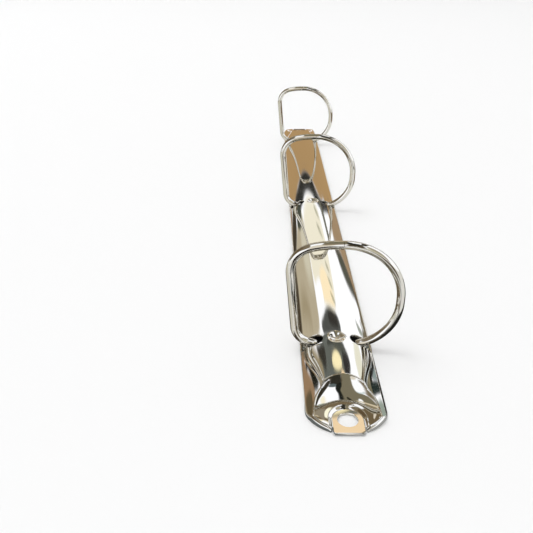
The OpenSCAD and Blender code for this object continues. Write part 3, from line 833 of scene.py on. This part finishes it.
# Cards that the metal mirrors: colour in 0..255, softness of the edge in degrees, and the corners.
# A corner is a place in the sky: degrees from straight up, to the right (+X) and to the front (+Y).
# A later card hangs nearer, so it covers the ones before it.
CARDS = {
    "sky": ((255, 255, 255), 3, [
        (0, 91.5), (35, 84.5), (65, 65), (85, 35), (91.5, 0), (85, -35), (65, -65), (35, -84.5),
        (0, -91.5), (-35, -84.5), (-65, -65), (-85, -35), (-91.5, 0), (-85, 35), (-65, 65),
        (-35, 84.5)]),
    "room_left": ((118, 106, 84), 5, [
        (-16, -62), (-16, -28), (-19, -12), (-17, 2), (-12, 12), (-16, 26), (-14, 38), (-18, 44),
        (-26, 49), (-45, 50), (-60, 58), (-80, 40), (-92, 5), (-84, -20), (-60, -25), (-45, -38),
        (-30, -58)]),
    "room_dark": ((92, 76, 54), 8, [(-35, 38), (-35, 0), (-50, -18), (-65, -8), (-72, 20), (-60, 42)]),
    "low_pale": ((214, 206, 188), 4, [
        (-16, -92), (8, -92), (7, -62), (-2, -48), (-5, -30), (-14, -30)]),
    "top_khaki": ((118, 111, 90), 1.8, [
        (-5, -44), (-4.5, -5), (-4, 9), (-9, 13), (-14, 18), (-15, 34), (-9, 39), (9, 39), (10, 20),
        (12, 5), (12, -30), (11, -44)]),
    "low_khaki": ((148, 132, 104), 3, [(-5, -40), (7, -40), (10, -62), (0, -62), (-3, -50)]),
    "top_blue": ((196, 208, 206), 2.5, [(-14, 4), (-12, 12), (-5, 13), (-4.5, 6)]),
    "top_white": ((253, 253, 253), 1.6, [
        (-18, -10), (-15.5, 0), (-11, 8.5), (-5.6, 9.5), (-4.6, 0), (-4.8, -15), (-6.5, -29),
        (-13, -28), (-17.5, -20)]),
    "top_spike": ((250, 250, 248), 0.8, [(-1.8, 29), (0.2, 36.5), (3.4, 36.5), (1.8, 32), (-0.4, 27)]),
    "short_line": ((40, 38, 28), 0.7, [(4.8, 38), (6.6, 38), (6.6, 27), (5.6, 27)]),
    "low_dark": ((80, 70, 52), 4, [
        (9, -22), (11, -40), (10, -62), (13, -93), (27, -93), (32, -60), (31, -30), (29, -20)]),
    "low_core": ((46, 44, 36), 3, [
        (11, -6), (17, -13), (28, -12), (28, -28), (24, -60), (16, -64), (12, -36), (9.5, -20)]),
    "low_blue": ((90, 100, 100), 2.5, [(16.5, -5), (27, -5), (28, -12), (22, -17), (16, -14)]),
    "long_line": ((28, 30, 24), 1.0, [
        (7.8, 37), (9.6, 37), (10.8, 25), (12.2, 15), (15, 6), (17, -3), (17, -14), (10.5, -22),
        (9.5, -10), (10.5, 0), (10.4, 8), (9.2, 15), (8.2, 25)]),
    "top_cream": ((244, 236, 208), 3, [(16, 37), (20, 37), (27, 25), (25.5, 18), (20, 28)]),
    "right_line": ((50, 46, 34), 1.2, [
        (26.5, 42), (27, 34), (28.6, 26), (28.6, 8), (27.5, -10), (27.5, -24), (33, -24), (36, 0),
        (37, 20), (37, 34), (36, 42)]),
    "low_right": ((158, 150, 126), 5, [
        (36, -10), (58, -12), (66, -42), (58, -58), (36, -62), (34, -30)]),
    "low_cream": ((194, 189, 162), 4, [(28, -62), (55, -60), (50, -80), (30, -92)]),
    "low_spot": ((118, 102, 80), 4, [(54, -50), (63, -46), (64, -62), (56, -70)]),
    "end_rim": ((112, 97, 72), 1.0, [
        (-46, 54), (-40, 55.5), (-33, 52.8), (-27, 50.4), (-20, 49.4), (-12, 49), (-6, 50.4), (5, 50.5),
        (14, 50.5), (24, 50.5), (34, 50.5), (40, 54), (45, 53.5), (42, 47), (34, 40), (26, 35.5),
        (14, 36), (4, 37.5), (-12, 40.5), (-22, 42), (-34, 47)]),
    "end_sand": ((146, 130, 102), 1.0, [
        (-16, 42.5), (-6, 42.6), (4, 41.6), (6, 37.5), (2, 36), (-8, 36.6), (-16, 38.5)]),
    "end_cream_low": ((204, 190, 160), 0.8, [
        (-19, 40), (-14, 37), (-8, 35.6), (0, 35), (4, 34.4), (3, 33), (-5, 32.6), (-13, 33),
        (-18, 37)]),
    "end_thread": ((240, 240, 236), 0.4, [
        (-34, 52.3), (-27, 49.8), (-20, 49), (-10, 48), (2, 47.5), (5.6, 47.3), (5.6, 46.2),
        (-10, 46.7), (-20, 47.8), (-27, 48.9)]),
    "end_cream": ((238, 226, 190), 0.5, [
        (-20, 50.2), (-8, 49.6), (5, 49.7), (14, 50.2), (22, 52), (22, 51), (14, 49), (5, 48.8),
        (-8, 48.8), (-20, 49.4)]),
    "end_peach": ((238, 210, 168), 0.5, [(5.8, 45.2), (5.6, 50), (9.9, 50), (9.9, 43.5), (7, 43.5)]),
    "end_light": ((222, 206, 172), 0.8, [
        (16, 45.6), (18, 48.2), (28, 49), (36, 53), (38, 52), (32, 48.2), (22, 45.6)]),
    "end_pale": ((252, 248, 220), 0.7, [
        (10.2, 43), (10.2, 47.8), (13.2, 47.6), (14, 45), (12.6, 42.6)]),
    "end_green": ((158, 164, 146), 0.8, [(17, 35), (17, 37.4), (24.5, 37.2), (25, 34.5)]),
    "end_white": ((253, 253, 252), 0.8, [
        (11, 49.6), (11.5, 52), (15, 53), (18, 53), (17, 50.6), (14.5, 49.4)]),
    "end_side": ((140, 130, 110), 0.9, [
        (14, 41.5), (13.6, 45), (13, 49.4), (16, 49), (22, 47.4), (30, 49.4), (38, 54), (44, 54),
        (38, 48), (28, 45), (22, 41.6)]),
    "end_brown": ((106, 91, 67), 0.8, [
        (-7, 43), (-6, 49.4), (-1, 50.6), (4.5, 50.6), (6, 48), (6.2, 42), (4.5, 37.5), (3, 42)]),
    "end_streak": ((214, 204, 184), 0.6, [
        (-4.5, 43.6), (-1, 46.4), (1, 47.6), (1.4, 46.6), (-0.5, 43.6)]),
    "end_glint": ((250, 251, 252), 0.4, [
        (2.8, 39), (3.8, 41.4), (5.8, 43.6), (7.8, 43.6), (6.6, 41), (5, 39.2)]),
    "end_olive": ((88, 84, 64), 1.0, [(30, 38), (36, 46), (42, 54), (44, 54), (39, 46), (34, 38)]),
    "end_grey": ((96, 99, 92), 0.7, [
        (-24, 55.5), (-16, 56), (-8, 55.2), (8, 54.9), (20.5, 54.5), (21.5, 53.6), (18, 52), (13, 50.8),
        (5, 50.2), (-8, 50.1), (-18, 51.5), (-22, 53)]),
    "end_khaki": ((150, 136, 106), 1.6, [
        (-33, 60), (-29, 58), (-25.5, 56.6), (-21, 54.8), (-18, 53), (-21, 51.6), (-27, 53.6),
        (-34, 57.5)]),
    "end_black": ((52, 49, 42), 0.9, [
        (-25, 57.2), (-20, 56), (-12, 54.6), (-13, 53), (-16, 52.6), (-19, 53.8), (-23, 55.4)]),
    "end_black_2": ((50, 47, 46), 0.8, [
        (12, 54.6), (20, 54.6), (21, 53.6), (17, 51.6), (12.5, 51.2), (11.5, 52.5)]),
    "end_line": ((64, 64, 58), 0.4, [(-8, 54.9), (12, 54.7), (12, 54), (-8, 54.2)]),
    "end_core": ((80, 82, 74), 0.5, [(1, 53.6), (14, 53.8), (18, 54.3), (16, 55.2), (1, 55.1)]),
    "end_oval": ((255, 240, 190), 0.35, [
        (-5.2, 52.4), (-3.4, 53), (0, 53.4), (4, 53.5), (7.5, 53.3), (9.6, 52.8), (8.6, 52.1),
        (5, 51.6), (1, 51.5), (-3, 51.8)]),
    "end_tab": ((238, 210, 168), 0.25, [(6, 49.4), (6, 51.75), (11.6, 51.75), (11.8, 49.4)]),
    "khaki": ((178, 166, 140), 1.2, [
        (-46, 66), (-41, 73), (-30, 72), (-20, 71), (-15, 69), (-14, 64), (-13.6, 57.2), (-18, 56.4),
        (-26, 57.6), (-36, 60.6)]),
    "khaki_light": ((202, 195, 172), 3.4, [(-22, 70.5), (-15, 69), (-14, 62), (-19, 62), (-24, 66)]),
    "khaki_streak": ((156, 143, 114), 3.4, [
        (-38, 66.5), (-33, 66.8), (-28, 64), (-24, 60), (-26, 59.6), (-31, 62), (-37, 64.6)]),
    "khaki_edge": ((66, 57, 42), 2.0, [
        (-46, 64), (-52, 74), (-44, 82), (-36.2, 74), (-36.8, 70.5), (-38.6, 67.5), (-41.6, 64),
        (-44, 63)]),
    "left_upper": ((106, 98, 82), 1.0, [
        (-63, 66), (-56, 76), (-51, 72), (-46.5, 65.5), (-43, 64.5), (-42, 62.6), (-50, 62),
        (-57, 62)]),
    "tan_left": ((142, 116, 86), 1.0, [(-42, 80), (-32, 85), (-27.5, 77), (-32.5, 75), (-38, 75.5)]),
    "left_dusk": ((62, 54, 44), 1.0, [
        (-88, 50), (-68, 72), (-64.5, 66), (-65, 59), (-66, 54), (-70, 50), (-78, 40)]),
    "left_horizon": ((146, 136, 112), 1.5, [
        (-64, 66), (-52, 62), (-45, 58), (-40, 55), (-40, 50), (-50, 48), (-62, 50), (-66, 58)]),
    "left_thread": ((236, 228, 206), 0.6, [
        (-52, 56.2), (-46, 56.4), (-43, 55.6), (-44, 54), (-50, 54)]),
    "flame": ((76, 77, 73), 0.6, [
        (-12.5, 56.9), (-4, 57.5), (4, 58.1), (15, 57.7), (16.5, 56.7), (14, 55.4), (0, 55),
        (-10, 55.3)]),
    "flame_dark": ((50, 47, 43), 0.8, [
        (0, 57.3), (8, 57.6), (14, 57.2), (12, 56.2), (5, 55.9), (0, 56.3)]),
    "cream": ((236, 229, 206), 1.2, [
        (-13, 61.5), (-13, 64), (-15, 67), (-13, 69), (10, 68.8), (15, 66), (16, 60), (12, 57.8),
        (0, 58), (-4, 58.2)]),
    "cream_warm": ((252, 232, 192), 0.8, [
        (-3, 58.2), (-3, 61.4), (4, 62), (10, 61), (14, 59), (12, 58.2)]),
    "flame_white": ((255, 255, 255), 0.6, [
        (-13.8, 57.6), (-13.8, 60), (-10, 61), (-4, 60.9), (-2, 59.4), (-2.6, 57.8), (-7, 57.2)]),
    "streak_1": ((150, 150, 125), 0.5, [(8, 59.7), (12, 59.5), (15.5, 58.9), (12, 58.8)]),
    "streak_2": ((160, 158, 130), 0.5, [(8, 61.2), (11, 61.1), (14.5, 60.4), (11, 60.4)]),
    "streak_3": ((170, 165, 140), 0.5, [(8, 62.8), (11, 62.7), (14, 62), (10, 62)]),
    "streak_4": ((160, 158, 134), 0.5, [(4, 66.4), (8, 66.3), (13, 65.4), (8, 65.5)]),
    "streak_5": ((160, 158, 134), 0.5, [(4, 68.2), (8, 68.1), (12, 67.3), (7, 67.4)]),
    "tan": ((166, 135, 92), 0.6, [
        (-31, 80), (-28, 75.5), (-22, 73), (-10, 71.5), (0, 71.2), (12, 71.1), (19, 71.2), (24, 74),
        (29, 72), (38, 75), (53, 77), (46, 88), (26, 89), (21, 84), (0, 83), (-20, 83.5), (-26, 90),
        (-38, 88)]),
    "tan_right": ((156, 132, 102), 2.4, [
        (28, 69.5), (36, 72.5), (52, 75), (46, 86), (38, 86), (33, 80), (28, 76)]),
    "tan_edge": ((46, 46, 42), 0.5, [
        (-24, 73.8), (-15, 72), (-8, 71.6), (0, 71.4), (8, 71.3), (14, 70.9), (19, 71.3), (27, 75),
        (27, 73.3), (19, 69.8), (12, 69.1), (4, 69.3), (-4, 69.5), (-12, 69.4), (-18, 70), (-24, 72)]),
    "left_edge": ((62, 55, 42), 0.8, [
        (-37, 75.2), (-27, 76), (-23.5, 73.2), (-27, 71.5), (-34, 71.9), (-38, 72.6)]),
    "arm_left": ((70, 74, 64), 0.6, [(-23.5, 72.6), (-17, 70.8), (-16, 69.2), (-21, 69), (-25, 71)]),
    "arm_right": ((104, 102, 88), 0.5, [
        (14, 70.8), (19, 70.4), (21.8, 68.6), (22.8, 66.8), (20.4, 66.4), (17.8, 68.6), (14, 69.8)]),
    "right_edge": ((86, 78, 64), 1.0, [
        (27, 69.5), (36, 73), (45, 75.5), (54, 77), (54, 74.5), (45, 72.8), (36, 70.5), (28, 68.3)]),
    "left_brown": ((148, 120, 90), 1.2, [
        (-52, 62), (-46, 66), (-42.4, 60.5), (-38, 57.6), (-33, 54.5), (-41, 54), (-48, 56)]),
    "left_black": ((30, 29, 20), 0.6, [
        (-41.9, 62.4), (-38, 60.9), (-34, 58.2), (-30, 56), (-27, 53.6), (-31, 53.5), (-35, 54.6),
        (-37.4, 57), (-40.2, 59.5), (-43.8, 60.9)]),
    "left_olive": ((92, 80, 58), 0.7, [
        (-50, 60.2), (-46, 58.9), (-42, 57.4), (-40, 56.4), (-40.5, 54.2), (-45, 53.5), (-49, 56)]),
    "right_base": ((136, 128, 106), 1.2, [
        (41, 57.5), (43.5, 61.4), (47, 63), (49.5, 66), (51, 63), (49, 58), (46, 54), (42, 54)]),
    "right_end": ((146, 156, 144), 1.0, [
        (45, 52), (50, 58.4), (54, 61), (60, 66.5), (64, 66), (58, 58), (50, 50)]),
    "right_tint": ((228, 225, 204), 1.2, [
        (29, 55.5), (33, 54), (38, 56.5), (39.8, 59.6), (38, 61), (32, 59)]),
    "right_grey": ((134, 147, 143), 0.4, [
        (51.2, 62.8), (53.5, 64.4), (56.4, 66.9), (58.4, 68.8), (60.5, 71.5), (57.6, 71.4), (55, 67.8),
        (52.6, 65.1)]),
    "right_navy": ((34, 44, 39), 0.5, [
        (46.5, 59.4), (50.5, 62.1), (53.5, 64.3), (56.4, 66.8), (58.4, 68.8), (60.4, 68.6), (58, 65.6),
        (54.5, 62.6), (51, 60), (48, 58.6)]),
    "right_olive": ((112, 106, 84), 0.8, [
        (36, 54.6), (37.5, 56.8), (41, 58), (45, 58.6), (48.4, 59.6), (50, 57), (42, 54.4)]),
    "right_far": ((112, 102, 82), 0.8, [
        (46.4, 64.4), (49, 64.8), (50.4, 66.8), (52.2, 70), (53.6, 74), (50, 78), (46.6, 77), (48, 72),
        (47.8, 68)]),
    "right_black": ((26, 28, 23), 0.5, [
        (47, 60.4), (49.2, 62.8), (51.2, 65), (53, 66.6), (54.6, 69.4), (56, 72.6), (58, 72),
        (55.8, 68.6), (53.6, 65.7), (51.6, 63.4), (49.6, 61.3), (47.8, 59.8)]),
    "smudge_1": ((84, 84, 72), 1.3, [
        (29.5, 68.4), (31, 70.5), (37, 73), (46, 73.5), (42, 70.5), (36, 68.6)]),
    "smudge_2": ((140, 145, 130), 0.7, [(39.5, 65), (44, 66.6), (48, 68.4), (47, 66.8), (43, 64.8)]),
    "smudge_3": ((196, 196, 190), 0.7, [(45.5, 69), (49, 71.5), (50.5, 71), (47.5, 68.8)]),
}
# Patches that the metal mirrors in the floor: painted reflections, and where they lie dark beside the
# cover, painted shade. Softness and corners are in millimetres.
PATCHES = {
    "front_black": ((36, 26, 19), 10, [
        (-6, -150), (5, -150), (12, -230), (30, -330), (60, -700), (-260, -700), (-90, -260),
        (-35, -185)]),
    "front_brown": ((84, 68, 52), 10, [
        (18, -150), (50, -160), (140, -260), (260, -700), (110, -700), (60, -260), (30, -185)]),
    "left_pale": ((196, 192, 176), 12, [
        (-12, -140), (-12, 150), (-60, 260), (-300, 300), (-300, -120), (-60, -150)]),
    "left_far": ((62, 54, 44), 12, [
        (-170, 20), (-170, 70), (-260, 200), (-600, 520), (-800, 300), (-330, 60)]),
    "left_shade": ((80, 71, 55), 5, [
        (-9, -40), (-20, -44), (-44, -60), (-46, -84), (-26, -106), (-9, -110)]),
    # painted shade along the foot of the nose wall
    "left_front_shade": ((96, 100, 98), 3, [
        (-2, -134), (-10, -130), (-13.5, -136.5), (-20, -143), (-14, -152), (-2, -152)]),
    "right_front_shade": ((150, 150, 146), 3, [
        (2, -134), (10, -130), (14, -134), (20, -140), (14, -152), (2, -152)]),
    "right_low": ((112, 94, 70), 8, [
        (30, -20), (45, 60), (90, 260), (400, 1000), (1000, 1100), (600, 400), (160, 0)]),
    # painted shade beside the cover's right side, round the front ring
    "right_side_shade": ((34, 33, 30), 3, [
        (8, -106), (16, -104), (30, -96), (90, -40), (130, -60), (44, -114), (20, -132), (9, -134)]),
    # painted shadows beside the front ring's feet
    "left_foot_shadow": ((60, 52, 42), 3, [(-11, -106), (-16, -108), (-17, -116), (-11, -120)]),
    "right_foot_shadow": ((60, 52, 42), 3, [(11, -109), (15, -111), (16, -122), (11, -126)]),
}
CARD_FAR = 60.0  # metres to the farthest card
CARD_STEP = 0.5  # each further card hangs this much nearer
PATCH_Z = 0.05  # millimetres from the floor to the lowest patch
PATCH_STEP = 0.01  # each further patch lies this much higher
CORNER_PASSES = 2  # rounds of cutting an outline's corners
CORNER_CUT = 0.2  # share of a side that a cut takes off


def linear(channel):
    """The light that a channel of 0..255 stands for."""
    share = channel / 255
    return share / 12.92 if share <= 0.04045 else ((share + 0.055) / 1.055) ** 2.4


def rounded_outline(corners, grow, step):
    """A closed outline with softly cut corners, grown outwards, with points a step apart."""
    line = np.array(corners, float)
    keep = 1 - CORNER_CUT
    for _ in range(CORNER_PASSES):
        ahead = np.roll(line, -1, axis=0)
        cuts = [keep * line + CORNER_CUT * ahead, CORNER_CUT * line + keep * ahead]
        line = np.stack(cuts, axis=1).reshape(-1, 2)
    ahead, behind = np.roll(line, -1, axis=0), np.roll(line, 1, axis=0)
    area = np.sum(line[:, 0] * ahead[:, 1] - line[:, 1] * ahead[:, 0])
    way = ahead - behind
    outwards = np.column_stack([way[:, 1], -way[:, 0]]) * np.sign(area)
    line = line + grow * outwards / np.linalg.norm(outwards, axis=1, keepdims=True)
    ahead = np.roll(line, -1, axis=0)
    parts = []
    for p, q in zip(line, ahead):
        count = int(np.linalg.norm(q - p) / step) + 1
        parts.append(p + (q - p) * np.linspace(0, 1, count, endpoint=False)[:, None])
    return np.concatenate(parts)


def from_outline(points, line):
    """Distance of each point from a closed outline."""
    way = np.roll(line, -1, axis=0) - line
    nearest = np.full(len(points), np.inf)
    for start, along in zip(line, way):
        offset = points - start
        share = np.clip(offset @ along / (along @ along), 0, 1)
        nearest = np.minimum(nearest, np.hypot(*(offset - share[:, None] * along).T))
    return nearest


def sky_place(right, front, distance):
    """Place in metres of a spot in the sky."""
    zenith = math.radians(math.hypot(right, front))
    turn = math.atan2(right, front)
    return (distance * math.sin(zenith) * math.sin(turn), distance * math.sin(zenith) * math.cos(turn),
            distance * math.cos(zenith))


def card_material(name, colour):
    """Light that shows its colour in the nickel. It fades out as the mesh's "inner" value falls."""
    material, tree = empty_material(name)
    light = [linear(channel) / metal for channel, metal in zip(colour, NICKEL)]
    paint = add_node(tree, "Emission", Color=(*light, 1))
    clear = add_node(tree, "BsdfTransparent")
    inner = add_node(tree, "Attribute")
    inner.attribute_name = "inner"
    mix = add_node(tree, "MixShader")
    output = add_node(tree, "OutputMaterial")
    link(inner, "Fac", mix, "Fac")
    link(clear, "BSDF", mix, 1)
    link(paint, "Emission", mix, 2)
    link(mix, "Shader", output, "Surface")
    return material


def hang_card(name, colour, softness, corners, place):
    """A card whose edge fades in over the softness, half of it outside. place puts it in space."""
    step = softness / 2
    line = rounded_outline(corners, softness / 2, step)
    (left, low), (right, high) = line.min(axis=0), line.max(axis=0)
    fill = np.array([(x, y) for y in np.arange(low, high, step) for x in np.arange(left, right, step)])
    fill = fill[inside(fill, line)]
    least_gap = step / 3
    fill = fill[from_outline(fill, line) > least_gap]
    made, faces, _ = triangulate(np.concatenate([line, fill]), len(line))
    points = np.array([place(x, y) for x, y in made])
    card = mesh_object(name, points / MM, faces, material=card_material(name, colour))
    layer = card.data.attributes.new("inner", "FLOAT", "POINT")
    layer.data.foreach_set("value", smooth(from_outline(made, line) / softness))
    card.visible_camera = False
    card.visible_diffuse = False
    card.visible_shadow = False


def hang_cards():
    for number, (name, (colour, softness, corners)) in enumerate(CARDS.items()):
        distance = CARD_FAR - CARD_STEP * number
        hang_card(name, colour, softness, corners, lambda x, y: sky_place(x, y, distance))
    for number, (name, (colour, softness, corners)) in enumerate(PATCHES.items()):
        above = (PATCH_Z + PATCH_STEP * number) * MM
        hang_card(name, colour, softness, corners, lambda x, y: (x * MM, y * MM, above))


def aim_camera():
    data = bpy.data.cameras.new("camera")
    data.sensor_width = CAMERA_SENSOR
    data.lens = CAMERA_LENS
    camera = bpy.data.objects.new("camera", data)
    bpy.context.scene.collection.objects.link(camera)
    camera.location = CAMERA_PLACE
    camera.rotation_euler = [math.radians(angle) for angle in CAMERA_TILT]
    bpy.context.scene.camera = camera


build_cover()
build_rings()
dress_plates()
lay_floor()
light_world()
hang_lamp()
hang_cards()
aim_camera()
bpy.context.scene.view_settings.view_transform = "Standard"
